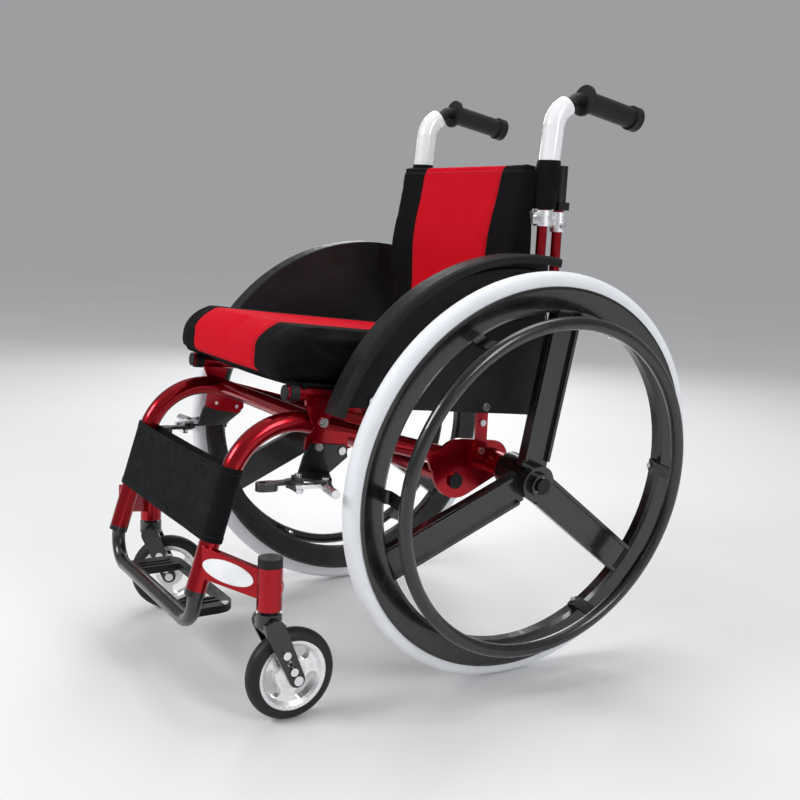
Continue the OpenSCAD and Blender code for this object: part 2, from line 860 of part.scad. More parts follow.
module wheel_axles() {
    inner = receiver_in - 4;
    color("silver") for (s = [-1, 1]) wheel_space(s) difference() {
        union() {
            translate([0, 0, inner]) cylinder(h = hub_out + 2 - inner, r = axle_r);
            translate([0, 0, hub_out + 0.3]) cylinder(h = 3, r = 12);
        }
        translate([0, 0, hub_out - 17]) cylinder(h = 40, r = button_r + running);
    }
}

// Quick-release button, pushed in to free the wheel.
module axle_button(s) {
    face = hub_out + 12;
    color([0.2, 0.2, 0.2]) wheel_space(s) {
        translate([0, 0, face - 4]) cylinder(h = 4, r = 11.5);
        translate([0, 0, face - 22]) cylinder(h = 19, r = button_r);
    }
}

/* Casters */

module fork_arm2d() {
    strap2d([0, crown_low + 5], [trail, caster_d / 2], 14, 11);
}

function arm_hole(k) = [trail - k * 5.5, caster_d / 2 + k * hole_step];

module fork(s) {
    color([0.1, 0.1, 0.1]) caster_space(s) difference() {
        union() {
            translate([0, 0, crown_low + 4]) cylinder(h = crown_top - crown_low - 4, r = 17.5);
            translate([0, 0, crown_top - 1]) cylinder(h = 4.5, r = 11);
            translate([0, 0, crown_top]) cylinder(h = housing_top + 4 - crown_top, r = stem_r);
            translate([0, 0, housing_top + 0.3]) cylinder(h = 6, r = 9);
            translate([-arm_out, -13, crown_low]) cube([2 * arm_out, 27, 12]);
            for (x = [-arm_out, arm_in])
                translate([x, 0, 0]) rotate([90, 0, 90]) linear_extrude(arm_out - arm_in) fork_arm2d();
        }
        for (k = [0:hole_count - 1])
            translate([-40, arm_hole(k)[0], arm_hole(k)[1]]) rotate([0, 90, 0])
                cylinder(h = 80, r = caster_axle_r);
    }
}

// Axle through the lowest holes, and two screws that close holes above it.
module caster_axle(s) {
    color("silver") caster_space(s) {
        translate([-arm_out - 3, trail, caster_d / 2]) rotate([0, 90, 0])
            cylinder(h = 2 * arm_out + 6, r = caster_axle_r);
        for (x = [-arm_out - 5, arm_out])
            translate([x, trail, caster_d / 2]) rotate([0, 90, 0]) cylinder(h = 5, r = 6.5);
        for (k = [1, 3], side = [-1, 1])
            translate([side * (arm_out + 1.5) - 1.5, arm_hole(k)[0], arm_hole(k)[1]])
                rotate([0, 90, 0]) cylinder(h = 3, r = 5.5);
    }
}

module caster_wheel_space(s) {
    caster_space(s) translate([0, trail, caster_d / 2]) rotate([0, 90, 0]) children();
}

// Kidney-shaped window through the caster's disc: an arc with round ends.
module kidney(span) {
    mid = 31;
    half = 8;
    step = span / 8;
    far = [for (k = [0:8]) (mid + half) * [cos(k * step), sin(k * step)]];
    near = [for (k = [8:-1:0]) (mid - half) * [cos(k * step), sin(k * step)]];
    tip = [for (a = [15:15:165]) mid * [cos(span), sin(span)] + half * [cos(span + a), sin(span + a)]];
    tail = [for (a = [195:15:345]) [mid, 0] + half * [cos(a), sin(a)]];
    translate([0, 0, -30]) linear_extrude(60) polygon(concat(far, tip, near, tail));
}

module caster(s) {
    color([0.85, 0.85, 0.87]) caster_wheel_space(s) difference() {
        rotate_extrude($fn = 72) polygon([
            [caster_axle_r + running, -19.6], [9, -19.6], [11, -9], [20, -6], [38, -6], [43, -10],
            [caster_rim_r, -11.5], [caster_rim_r, 11.5], [43, 10], [38, 6], [20, 6], [11, 9], [9, 19.6],
            [caster_axle_r + running, 19.6]
        ]);
        for (i = [0:2]) rotate([0, 0, 25 + i * 120]) kidney(48);
    }
}

module caster_tyre(s) {
    r = caster_w / 2;
    color([0.08, 0.08, 0.08]) caster_wheel_space(s) rotate_extrude($fn = 72) {
        intersection() {
            translate([caster_d / 2 - r, 0]) circle(r, $fn = 48);
            translate([caster_rim_r, -r]) square([r + 4, 2 * r]);
        }
        translate([caster_rim_r, -r + 1]) square([3, 2 * r - 2]);
    }
}

/* Brakes */

bracket_x = mount_x + mount_t + 0.05;

module pivot_holes(r) {
    for (p = [lever_pivot, shoe_pivot]) translate([p[0], p[1], lever_z - 20]) cylinder(h = 40, r = r);
}

// Angle bracket: bolted to the frame, with a shelf that carries both pivots.
module brake_brackets() {
    color([0.1, 0.1, 0.1]) for (s = [-1, 1]) chair(s) difference() {
        union() {
            side_plate(bracket_x, bracket_t)
                polygon([
                    [-312, 362], [-256, 355], [-254, 338],
                    [-282, shelf_z], [-330, shelf_z], [-322, 344]
                ]);
            translate([0, 0, shelf_z]) linear_extrude(bracket_t) {
                strap2d(lever_pivot, shoe_pivot, 10, 9);
                polygon([[bracket_x, -330], [200, -345], [236, -304], [bracket_x, -282]]);
            }
        }
        cross_holes(mount_bolts);
        pivot_holes(pivot_pin_r);
    }
}

// Fixed pivot pins of the levers and the shoes.
module brake_pins() {
    low = lever_z - 0.5;
    color("silver") for (s = [-1, 1], p = [lever_pivot, shoe_pivot])
        chair(s) translate([p[0], p[1], 0]) {
            translate([0, 0, low]) cylinder(h = shelf_z + bracket_t - low, r = pivot_pin_r);
            translate([0, 0, shelf_z + bracket_t]) cylinder(h = 3, r = 5);
            translate([0, 0, low - 2.5]) cylinder(h = 2.5, r = 4.5);
        }
}

function swing(at, r, a) = at + r * [sin(a), -cos(a)];
lever_pin = swing(lever_pivot, lever_crank, -lever_travel / 2);
shoe_pin = swing(shoe_pivot, shoe_crank, -shoe_travel / 2);

module crank_pin(p) {
    translate([p[0], p[1], link_z - 0.3]) cylinder(h = lever_z - link_z + 1, r = pin_r);
    translate([p[0], p[1], link_z - 1.8]) cylinder(h = 1.5, r = 4);
}

module brake_lever(s) {
    neck = lever_pivot + [1, -42];
    tip = lever_pivot + [0, -52];
    color([0.1, 0.1, 0.1]) chair(s) difference() {
        union() {
            translate([0, 0, lever_z]) linear_extrude(lever_t) {
                strap2d(lever_pivot, lever_pin, 8, 6);
                strap2d(lever_pivot, neck, 7.5, 6);
            }
            translate([0, 0, lever_z - 6]) linear_extrude(lever_t + 6) difference() {
                strap2d(neck, tip, 10.5, 10);
                strap2d(neck + [0, -1], tip, 5.5, 5);
            }
            crank_pin(lever_pin);
        }
        pivot_holes(pivot_pin_r + running);
    }
}

module brake_link(s) {
    color("silver") chair(s) translate([0, 0, link_z]) difference() {
        union() {
            linear_extrude(link_t) strap2d(lever_pin, shoe_pin, 5, 5.5);
            translate([shoe_pin[0], shoe_pin[1], 0.4]) cylinder(h = link_t - 0.8, r = 5);
        }
        translate([lever_pin[0], lever_pin[1], -1]) cylinder(h = link_t + 2, r = pin_r + running);
        translate([shoe_pin[0], shoe_pin[1], -1]) cylinder(h = link_t + 2, r = pin_r + 0.65);
    }
}

module brake_shoe(s) {
    bar = shoe_pivot + [35, -9.3];
    bar_len = 34;
    color("silver") chair(s) difference() {
        union() {
            translate([0, 0, lever_z]) linear_extrude(lever_t) {
                strap2d(shoe_pivot, shoe_pin, 8, 6);
                strap2d(shoe_pivot, bar + [-12, 2], 8, 7);
            }
            translate([bar[0], bar[1], lever_z + 2.4]) rotate([0, 90, -shoe_travel / 2])
                translate([0, 0, -bar_len / 2]) cylinder(h = bar_len, r = 6);
            crank_pin(shoe_pin);
        }
        pivot_holes(pivot_pin_r + running);
    }
}

/* Fasteners of the frame */

module frame_bolts() {
    rail_out = rail_x + rail_r;
    color("silver") for (s = [-1, 1]) chair(s) {
        for (p = back_bolts) bolt(on_side(p, rail_out + 4), 6, 3, 9);
        for (p = strut_bolts) bolt(on_side(p, strut_x + mount_t), 5, 3, 6);
        bolt(on_side(saddle_bolt, saddle_x + mount_t), 6.5, 3, 12);
        for (p = mount_bolts) bolt(on_side(p, bracket_x + bracket_t), 5.5, 3, 9);
        for (y = guard_bolts) bolt([guard_x + guard_t, y, rail_z(y)], 6, 3, 38);
        translate([cane_x - 11, pivot[0], pivot[1]]) rotate([0, 90, 0]) cylinder(h = 22, r = pivot_r);
        for (x = [cane_x - 14, cane_x + 11])
            translate([x, pivot[0], pivot[1]]) rotate([0, 90, 0]) cylinder(h = 3, r = 8);
        translate([115, -402, foot_z + 5.5]) cylinder(h = 3, r = 4.5);
        translate([115, -402, foot_z - 5.5]) cylinder(h = 11.5, r = 2.5);
    }
}

side_tube(1);  // side_tube_left
side_tube(-1);  // side_tube_right
front_cross_tube();
rear_cross_tube();
seat_rails();
frame_caps();
axle_plate(1);  // axle_plate_left
axle_plate(-1);  // axle_plate_right
caster_housing(1);  // caster_housing_left
caster_housing(-1);  // caster_housing_right
gusset_badges();
swivel_bearings();
footrest_tube();
footplate();
calf_strap();
seat_sling();
seat_cushion();
side_guard(1);  // side_guard_left
side_guard(-1);  // side_guard_right
back_brackets();
frame_bolts();
wheel_axles();
brake_brackets();
brake_pins();
back_cane(1);  // back_cane_left
back_cane(-1);  // back_cane_right
post_sleeves();
cane_clamps();
push_tube(1);  // push_tube_left
push_tube(-1);  // push_tube_right
grip(1);  // grip_left
grip(-1);  // grip_right
back_upholstery();
clamp_bolts();
wheel(1);  // wheel_left
wheel(-1);  // wheel_right
tyre(1);  // tyre_left
tyre(-1);  // tyre_right
handrim(1);  // handrim_left
handrim(-1);  // handrim_right
handrim_bolts(1);  // handrim_bolts_left
handrim_bolts(-1);  // handrim_bolts_right
hub_bearings(1);  // hub_bearings_left
hub_bearings(-1);  // hub_bearings_right
axle_button(1);  // axle_button_left
axle_button(-1);  // axle_button_right
fork(1);  // fork_left
fork(-1);  // fork_right
caster_axle(1);  // caster_axle_left
caster_axle(-1);  // caster_axle_right
caster(1);  // caster_left
caster(-1);  // caster_right
caster_tyre(1);  // caster_tyre_left
caster_tyre(-1);  // caster_tyre_right
brake_lever(1);  // brake_lever_left
brake_lever(-1);  // brake_lever_right
brake_link(1);  // brake_link_left
brake_link(-1);  // brake_link_right
brake_shoe(1);  // brake_shoe_left
brake_shoe(-1);  // brake_shoe_right
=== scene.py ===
"""Manual wheelchair: finishes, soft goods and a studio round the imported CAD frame."""

import json
import math

import bmesh
import bpy
from mathutils import Matrix, Vector, noise
from mathutils.bvhtree import BVHTree


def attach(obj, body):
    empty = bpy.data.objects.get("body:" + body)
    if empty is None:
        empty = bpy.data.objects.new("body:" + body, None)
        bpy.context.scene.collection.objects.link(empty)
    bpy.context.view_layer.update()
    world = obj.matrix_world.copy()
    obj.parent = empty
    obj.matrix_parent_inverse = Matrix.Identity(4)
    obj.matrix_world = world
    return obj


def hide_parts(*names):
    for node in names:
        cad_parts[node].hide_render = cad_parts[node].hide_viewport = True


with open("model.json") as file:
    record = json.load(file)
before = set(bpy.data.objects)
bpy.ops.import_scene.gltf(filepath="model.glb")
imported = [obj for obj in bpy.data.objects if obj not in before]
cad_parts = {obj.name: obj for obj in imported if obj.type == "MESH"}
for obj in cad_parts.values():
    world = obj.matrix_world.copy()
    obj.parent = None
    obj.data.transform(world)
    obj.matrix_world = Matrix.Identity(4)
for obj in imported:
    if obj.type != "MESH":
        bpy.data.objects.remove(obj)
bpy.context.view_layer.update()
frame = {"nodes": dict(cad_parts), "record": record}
NODES = frame["nodes"]

# The seat's own frame: x across, y rearwards along the rails, z up from the rails' middle lines
AXLE_Y = 0.0875
SEAT_SLOPE = math.radians(5.5)
SEAT = Matrix.Translation((0, AXLE_Y - 0.345, 0.4315)) @ Matrix.Rotation(-SEAT_SLOPE, 4, "X")
SEAT_INV = SEAT.inverted()

# The cushion: sides of its red band, and the height over the rails' middle lines below which it is black
CUSHION_BAND = (-0.122, 0.105)
CUSHION_BLACK_BELOW = 0.0195

# The backrest: its height, half the red band's width at its ends, and where its black rear begins
BACK_LOW, BACK_TOP = 0.512, 0.765
BACK_BAND_LOW, BACK_BAND_HIGH = 0.102, 0.110
BACK_BLACK_BEHIND = AXLE_Y + 0.0555

WEAVE_PITCH = 0.0014
BEVEL_SAMPLES = 4


# ---------------------------------------------------------------- materials


class Shader:
    """A Principled material and short calls that add nodes to it."""

    def __init__(self, name, color, roughness, **sockets):
        self.mat = bpy.data.materials.new(name)
        self.mat.use_nodes = True
        self.mat.diffuse_color = (*color, 1)
        self.tree = self.mat.node_tree
        self.bsdf = next(n for n in self.tree.nodes if n.type == "BSDF_PRINCIPLED")
        self.set("Base Color", (*color, 1))
        self.set("Roughness", roughness)
        for socket, value in sockets.items():
            self.set(socket.replace("_", " "), value)
        self.coords = self.add("ShaderNodeTexCoord").outputs["Object"]

    def set(self, socket, value):
        self.bsdf.inputs[socket].default_value = value

    def add(self, kind, inputs=(), **settings):
        node = self.tree.nodes.new(kind)
        for key, value in settings.items():
            setattr(node, key, value)
        for socket, value in dict(inputs).items():
            if isinstance(value, bpy.types.NodeSocket):
                self.tree.links.new(value, node.inputs[socket])
            else:
                node.inputs[socket].default_value = value
        return node

    def link(self, source, socket):
        self.tree.links.new(source, self.bsdf.inputs[socket])

    def math(self, operation, a, b=0.0, c=0.0):
        return self.add("ShaderNodeMath", {0: a, 1: b, 2: c}, operation=operation).outputs[0]

    def dot(self, direction):
        return self.add(
            "ShaderNodeVectorMath", {0: self.coords, 1: direction}, operation="DOT_PRODUCT"
        ).outputs["Value"]

    def noise(self, scale, detail=2.0, stretch=(1, 1, 1)):
        spot = self.coords
        if stretch != (1, 1, 1):
            spot = self.add("ShaderNodeMapping", {"Vector": spot, "Scale": stretch}).outputs[0]
        node = self.add("ShaderNodeTexNoise", {"Vector": spot, "Scale": scale, "Detail": detail})
        return node.outputs["Fac"]

    def spread(self, value, low, high, to_low, to_high):
        """value between low and high becomes a value between to_low and to_high."""
        return self.add(
            "ShaderNodeMapRange",
            {"Value": value, "From Min": low, "From Max": high, "To Min": to_low, "To Max": to_high},
        ).outputs[0]

    def mix(self, factor, a, b):
        node = self.add("ShaderNodeMix", data_type="RGBA")
        for socket, value in ((node.inputs[0], factor), (node.inputs[6], a), (node.inputs[7], b)):
            if isinstance(value, bpy.types.NodeSocket):
                self.tree.links.new(value, socket)
            else:
                socket.default_value = value if socket is node.inputs[0] else (*value, 1)
        return node.outputs[2]

    def bump(self, height, depth, under=None):
        """depth is the height of the relief in metres."""
        inputs = {"Height": height, "Strength": 1.0, "Distance": depth}
        if under is not None:
            inputs["Normal"] = under
        return self.add("ShaderNodeBump", inputs).outputs[0]

    def soft_edges(self, radius):
        """The normal with its sharp edges rounded to radius."""
        return self.add("ShaderNodeBevel", {"Radius": radius}, samples=BEVEL_SAMPLES).outputs[0]

    def edges(self, radius):
        """Up to 1 along sharp edges, broken up as wear is, and 0 elsewhere."""
        flat = self.add("ShaderNodeNewGeometry").outputs["Normal"]
        turn = self.add(
            "ShaderNodeVectorMath", {0: self.soft_edges(radius), 1: flat}, operation="DOT_PRODUCT"
        )
        found = self.spread(turn.outputs["Value"], 0.97, 0.80, 0.0, 1.0)
        broken = self.spread(self.noise(90, 3), 0.45, 0.62, 0.0, 1.0)
        return self.math("MULTIPLY", found, broken)

    def weave(self, pitch):
        """Height of a plain weave that shows on faces of every direction."""
        turns = 2 * math.pi / pitch
        over = self.math("SINE", self.math("MULTIPLY", self.dot((1, 0.5, 0)), turns))
        under = self.math("SINE", self.math("MULTIPLY", self.dot((0, 1, 1)), turns))
        return self.math("MULTIPLY", over, under)


def paint(name, color, deep, rough, edge=None, metallic=0.0, coat=1.0):
    """Sprayed paint: slight orange peel, cloudy gloss, rounded edges with a little wear."""
    s = Shader(name, color, rough, Metallic=metallic, Coat_Weight=coat, Coat_Roughness=0.06)
    base = s.mix(s.spread(s.noise(14, 4), 0.3, 0.7, 0.0, 1.0), deep, color)
    if edge:
        base = s.mix(s.math("MULTIPLY", s.edges(0.0012), 0.55), base, edge)
    s.link(base, "Base Color")
    s.link(s.spread(s.noise(35, 5), 0.3, 0.7, rough * 0.8, rough * 1.3), "Roughness")
    s.link(s.bump(s.noise(420, 2), 0.00006, s.soft_edges(0.0008)), "Normal")
    return s.mat


def moulded(name, color, rough, grain, depth, edge=None):
    """Moulded plastic with a fine grain and handling marks."""
    s = Shader(name, color, rough, Specular_IOR_Level=0.28)
    pale = tuple(min(1, c * 1.7 + 0.004) for c in color)
    base = s.mix(s.spread(s.noise(25, 5), 0.35, 0.75, 0.0, 1.0), color, pale)
    if edge:
        base = s.mix(s.math("MULTIPLY", s.edges(0.0015), 0.5), base, edge)
    s.link(base, "Base Color")
    s.link(s.spread(s.noise(60, 4), 0.3, 0.7, rough * 0.85, min(1.0, rough * 1.2)), "Roughness")
    cells = s.add("ShaderNodeTexVoronoi", {"Vector": s.coords, "Scale": grain}).outputs["Distance"]
    s.link(s.bump(cells, depth, s.soft_edges(0.0008)), "Normal")
    return s.mat


def metal(name, color, rough, stretch):
    """Plated or turned metal with fine directional marks and faint spots."""
    s = Shader(name, color, rough, Metallic=1.0)
    dull = tuple(c * 0.88 for c in color)
    s.link(s.mix(s.spread(s.noise(120, 4), 0.45, 0.75, 0.0, 1.0), color, dull), "Base Color")
    s.link(s.spread(s.noise(300, 3, stretch), 0.3, 0.7, rough * 0.6, rough * 1.6), "Roughness")
    s.link(s.bump(s.noise(700, 2, stretch), 0.00003, s.soft_edges(0.0005)), "Normal")
    return s.mat


def tyre(name, color, dust, rough):
    """Solid rubber: speckle, scuffs and dust that gathers in patches."""
    s = Shader(name, color, rough, Specular_IOR_Level=0.4)
    patches = s.spread(s.noise(18, 6), 0.42, 0.72, 0.0, 0.5)
    specks = s.spread(s.noise(650, 2), 0.62, 0.7, 0.0, 0.35)
    s.link(s.mix(specks, s.mix(patches, color, dust), dust), "Base Color")
    s.link(s.spread(s.noise(80, 4), 0.3, 0.7, rough * 0.85, min(1.0, rough * 1.15)), "Roughness")
    s.link(s.bump(s.noise(900, 3), 0.00012), "Normal")
    return s.mat


def cloth(name, color, pale, pitch, depth, rough, sheen):
    """Woven cloth: weave relief, uneven dye and a soft sheen."""
    s = Shader(name, color, rough, Sheen_Weight=sheen, Sheen_Roughness=0.4, Specular_IOR_Level=0.1)
    threads = s.weave(pitch)
    dye = s.mix(s.spread(s.noise(30, 5), 0.3, 0.75, 0.0, 1.0), color, pale)
    shade = s.spread(threads, -1.0, 1.0, 0.0, 0.35)
    s.link(s.mix(shade, dye, tuple(c * 0.55 for c in color)), "Base Color")
    s.link(s.spread(s.noise(90, 3), 0.3, 0.7, rough - 0.08, rough + 0.08), "Roughness")
    s.link(s.bump(s.math("ADD", threads, s.noise(500, 2)), depth), "Normal")
    return s.mat


RED = (0.78, 0.0025, 0.016)
RED_PALE = (0.82, 0.006, 0.024)
BLACK = (0.0035, 0.0042, 0.0045)
BLACK_PALE = (0.0065, 0.0075, 0.008)
BETWEEN_THREADS = (0.012, 0.004, 0.005)


def two_tone(name, black_where):
    """Red upholstery with black panels; black_where(shader) gives 1 where it is black."""
    s = Shader(name, RED, 0.85, Sheen_Weight=0.015, Sheen_Roughness=0.4, Specular_IOR_Level=0.08)
    threads = s.weave(WEAVE_PITCH)
    cloudy = s.spread(s.noise(30, 5), 0.3, 0.75, 0.0, 1.0)
    red = s.mix(cloudy, RED, RED_PALE)
    black = s.mix(cloudy, BLACK, BLACK_PALE)
    body = s.mix(black_where(s), red, black)
    s.link(s.mix(s.spread(threads, -1.0, 1.0, 0.0, 0.3), body, BETWEEN_THREADS), "Base Color")
    s.link(s.spread(s.noise(90, 3), 0.3, 0.7, 0.78, 0.92), "Roughness")
    s.link(s.bump(s.math("ADD", threads, s.noise(500, 2)), 0.0002), "Normal")
    return s.mat


def beyond(s, value, low, high):
    """1 where value is outside low to high."""
    return s.math("MAXIMUM", s.math("LESS_THAN", value, low), s.math("GREATER_THAN", value, high))


def cushion_black(s):
    across = s.dot((1, 0, 0))
    height = s.dot((0, math.sin(SEAT_SLOPE), math.cos(SEAT_SLOPE)))
    rails = -SEAT_INV.translation.z
    base = s.math("LESS_THAN", height, rails + CUSHION_BLACK_BELOW)
    return s.math("MAXIMUM", beyond(s, across, *CUSHION_BAND), base)


def back_black(s):
    across = s.math("ABSOLUTE", s.dot((1, 0, 0)))
    edge = s.spread(s.dot((0, 0, 1)), BACK_LOW, BACK_TOP, BACK_BAND_LOW, BACK_BAND_HIGH)
    behind = s.math("GREATER_THAN", s.dot((0, 1, 0)), BACK_BLACK_BEHIND)
    return s.math("MAXIMUM", s.math("GREATER_THAN", across, edge), behind)


MATERIALS = {
    "red_paint": paint(
        "red_paint", (0.40, 0.0, 0.010), (0.32, 0.0, 0.007), 0.20, (0.50, 0.02, 0.03),
        metallic=0.85, coat=0.35,
    ),
    "black_paint": paint(
        "black_paint", (0.0045, 0.0045, 0.005), (0.003, 0.003, 0.0035), 0.28, (0.05, 0.05, 0.05),
        coat=0.5,
    ),
    "wheel_black": paint(
        "wheel_black", (0.004, 0.004, 0.0045), (0.0025, 0.0025, 0.003), 0.24, (0.04, 0.04, 0.042),
        coat=0.5,
    ),
    "white_paint": paint("white_paint", (0.88, 0.89, 0.90), (0.85, 0.86, 0.875), 0.25),
    "black_plastic": moulded(
        "black_plastic", (0.0045, 0.0045, 0.005), 0.45, 900, 0.00012, (0.03, 0.03, 0.03)
    ),
    "rubber": moulded("rubber", (0.006, 0.006, 0.0065), 0.5, 1300, 0.0001),
    "badge": moulded("badge", (0.80, 0.82, 0.85), 0.22, 400, 0.00002),
    "steel": metal("steel", (0.80, 0.80, 0.82), 0.22, (1, 1, 8)),
    "silver": metal("silver", (0.93, 0.93, 0.94), 0.33, (6, 1, 1)),
    "tyre_light": tyre("tyre_light", (0.84, 0.86, 0.90), (0.74, 0.75, 0.78), 0.50),
    "tyre_black": tyre("tyre_black", (0.006, 0.006, 0.0065), (0.02, 0.02, 0.02), 0.55),
    "black_fabric": cloth("black_fabric", BLACK, BLACK_PALE, 0.0018, 0.0002, 0.7, 0.015),
    "cushion": two_tone("cushion_cloth", cushion_black),
    "back": two_tone("back_cloth", back_black),
    "thread": cloth("thread", (0.02, 0.02, 0.022), (0.05, 0.05, 0.055), 0.0006, 0.00008, 0.6, 0.1),
}
for part in frame["record"]["subparts"]:
    finish = MATERIALS.get(part["material_slot"])
    if finish:
        data = NODES[part["node"]].data
        data.materials.clear()
        data.materials.append(finish)
        for face in data.polygons:
            face.material_index = 0


# ---------------------------------------------------------------- mesh tools


def link(name, mesh, material, body):
    """The finished piece: smooth, in one material, and riding on a body of the frame."""
    obj = bpy.data.objects.new(name, mesh)
    bpy.context.scene.collection.objects.link(obj)
    obj.data.materials.clear()
    obj.data.materials.append(MATERIALS[material])
    for face in obj.data.polygons:
        face.use_smooth = True
        face.material_index = 0
    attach(obj, body)
    return obj


def apply_modifiers(obj):
    depsgraph = bpy.context.evaluated_depsgraph_get()
    made = bpy.data.meshes.new_from_object(obj.evaluated_get(depsgraph))
    obj.modifiers.clear()
    obj.data = made


def remeshed(obj, voxel):
    mod = obj.modifiers.new("remesh", "REMESH")
    mod.mode, mod.voxel_size = "VOXEL", voxel
    apply_modifiers(obj)


PUFF_PRESSURE, PUFF_STEPS = 4.0, 20


def inflated(obj, cap):
    """Puffs the piece up with cloth pressure; no point travels further than cap."""
    before = [v.co.copy() for v in obj.data.vertices]
    cloth_mod = obj.modifiers.new("puff", "CLOTH")
    cloth_mod.settings.use_pressure = True
    cloth_mod.settings.uniform_pressure_force = PUFF_PRESSURE
    cloth_mod.settings.effector_weights.gravity = 0
    cloth_mod.settings.quality = 5
    for step in range(1, PUFF_STEPS + 1):
        bpy.context.scene.frame_set(step)
    apply_modifiers(obj)
    bpy.context.scene.frame_set(1)
    for v, start in zip(obj.data.vertices, before):
        move = v.co - start
        if move.length > cap:
            v.co = start + move * (cap / move.length)


def subdivided(obj):
    mod = obj.modifiers.new("smooth", "SUBSURF")
    mod.levels = mod.render_levels = 1
    apply_modifiers(obj)


def solid_from(name, build):
    """A throwaway object whose mesh build(bm) makes."""
    bm = bmesh.new()
    build(bm)
    bmesh.ops.recalc_face_normals(bm, faces=bm.faces)
    mesh = bpy.data.meshes.new(name)
    bm.to_mesh(mesh)
    bm.free()
    obj = bpy.data.objects.new(name, mesh)
    bpy.context.scene.collection.objects.link(obj)
    return obj


def taken_mesh(obj):
    """The mesh of a throwaway object, which is removed."""
    mesh = obj.data
    bpy.data.objects.remove(obj)
    return mesh


def smooth(t):
    """0 to 1 as t goes from 0 to 1, level at both ends."""
    return t * t * (3 - 2 * t)


def dip(distance, width):
    """1 on a seam line, falling smoothly to 0 at width away from it."""
    return smooth(max(0.0, 1 - abs(distance) / width))


def with_normals(mesh):
    """Each vertex with its normal, read before any vertex moves."""
    return list(zip(mesh.vertices, [v.normal.copy() for v in mesh.vertices]))


def skin(bm, a, b):
    """Joins two closed rings of vertices with quads."""
    for k in range(len(a)):
        j = (k + 1) % len(a)
        bm.faces.new((a[k], a[j], b[j], b[k]))


def tube_along(bm, points, radius, sides):
    """A closed round tube through points."""
    rings = []
    for i, p in enumerate(points):
        ahead = (points[min(i + 1, len(points) - 1)] - points[max(i - 1, 0)]).normalized()
        side = ahead.orthogonal().normalized()
        up = ahead.cross(side)
        turn = [2 * math.pi * k / sides for k in range(sides)]
        rings.append([bm.verts.new(p + (side * math.cos(t) + up * math.sin(t)) * radius) for t in turn])
    for a, b in zip(rings, rings[1:]):
        skin(bm, a, b)
    bm.faces.new(rings[0][::-1])
    bm.faces.new(rings[-1])


STITCH_PITCH, STITCH_SHARE, THREAD_RADIUS = 0.0055, 0.62, 0.00042


def stitches(name, lines, body):
    """Short raised threads along each line of surface points."""

    def build(bm):
        for line in lines:
            travelled, mark = 0.0, 0.0
            for a, b in zip(line, line[1:]):
                run = (b - a).length
                if run < 1e-6:
                    continue
                while mark < travelled + run:
                    start = a.lerp(b, (mark - travelled) / run)
                    end = start + (b - a).normalized() * STITCH_PITCH * STITCH_SHARE
                    tube_along(bm, [start, start.lerp(end, 0.5), end], THREAD_RADIUS, 6)
                    mark += STITCH_PITCH
                travelled += run

    return link(name, taken_mesh(solid_from(name, build)), "thread", body)


THREAD_LIFT = 0.0001


def surface_line(mesh, starts, ways, reach):
    """Points just above the mesh, where the ray from each start along its way meets it."""
    faces = [tuple(p.vertices) for p in mesh.polygons]
    tree = BVHTree.FromPolygons([v.co for v in mesh.vertices], faces)
    found = []
    for start, way in zip(starts, ways):
        hit, normal, _, _ = tree.ray_cast(start, way, reach)
        if hit is not None:
            found.append(hit + normal * THREAD_LIFT)
    return found


# ---------------------------------------------------------------- cushion

# Half the width, the front and rear, and the bottom and top, in the seat's own frame
CUSHION_X = 0.186
CUSHION_Y = (-0.034, 0.366)
CUSHION_Z = (0.0141, 0.0881)
CUSHION_VOXEL = 0.005
CUSHION_PUFF = 0.010
CUSHION_SEAM, CUSHION_SEAM_DEPTH = 0.004, 0.0016

# Corner radii in side view: lower front, upper front, upper rear, lower rear
CUSHION_RADII = [0.014, 0.046, 0.018, 0.012]

# Threads run this far to each side of a seam
CUSHION_THREAD_OFFSET = 0.0048


def rounded_outline(y, z, radii, steps):
    """Side view of the cushion as [point, outward direction], clockwise from the lower front."""
    corners = [
        (y[0] + radii[0], z[0] + radii[0], radii[0], 270, 180),
        (y[0] + radii[1], z[1] - radii[1], radii[1], 180, 90),
        (y[1] - radii[2], z[1] - radii[2], radii[2], 90, 0),
        (y[1] - radii[3], z[0] + radii[3], radii[3], 0, -90),
    ]
    out = []
    for cy, cz, r, a0, a1 in corners:
        for k in range(steps + 1):
            a = math.radians(a0 + (a1 - a0) * k / steps)
            n = Vector((0, math.cos(a), math.sin(a)))
            out.append((Vector((0, cy, cz)) + n * r, n))
    return out


def cushion_body(bm):
    """Profile swept across the seat, drawn in towards the side seams."""
    shrink, side_radius, side_from = 0.0025, 0.010, 0.85
    rows = []
    for x in (-1, -0.985, -0.94, -side_from, -0.5, 0, 0.5, side_from, 0.94, 0.985, 1):
        round_off = max(0.0, (abs(x) - side_from) / 0.15) ** 2
        inset = shrink + side_radius * (1 - math.sqrt(max(0.0, 1 - round_off)))
        y = (CUSHION_Y[0] + inset, CUSHION_Y[1] - inset)
        z = (CUSHION_Z[0] + 0.3 * (inset - shrink), CUSHION_Z[1] - inset)
        outline = rounded_outline(y, z, CUSHION_RADII, 8)
        rows.append([bm.verts.new((x * (CUSHION_X - shrink), p.y, p.z)) for p, _ in outline])
    for a, b in zip(rows, rows[1:]):
        skin(bm, a, b)
    bm.faces.new(rows[0][::-1])
    bm.faces.new(rows[-1])


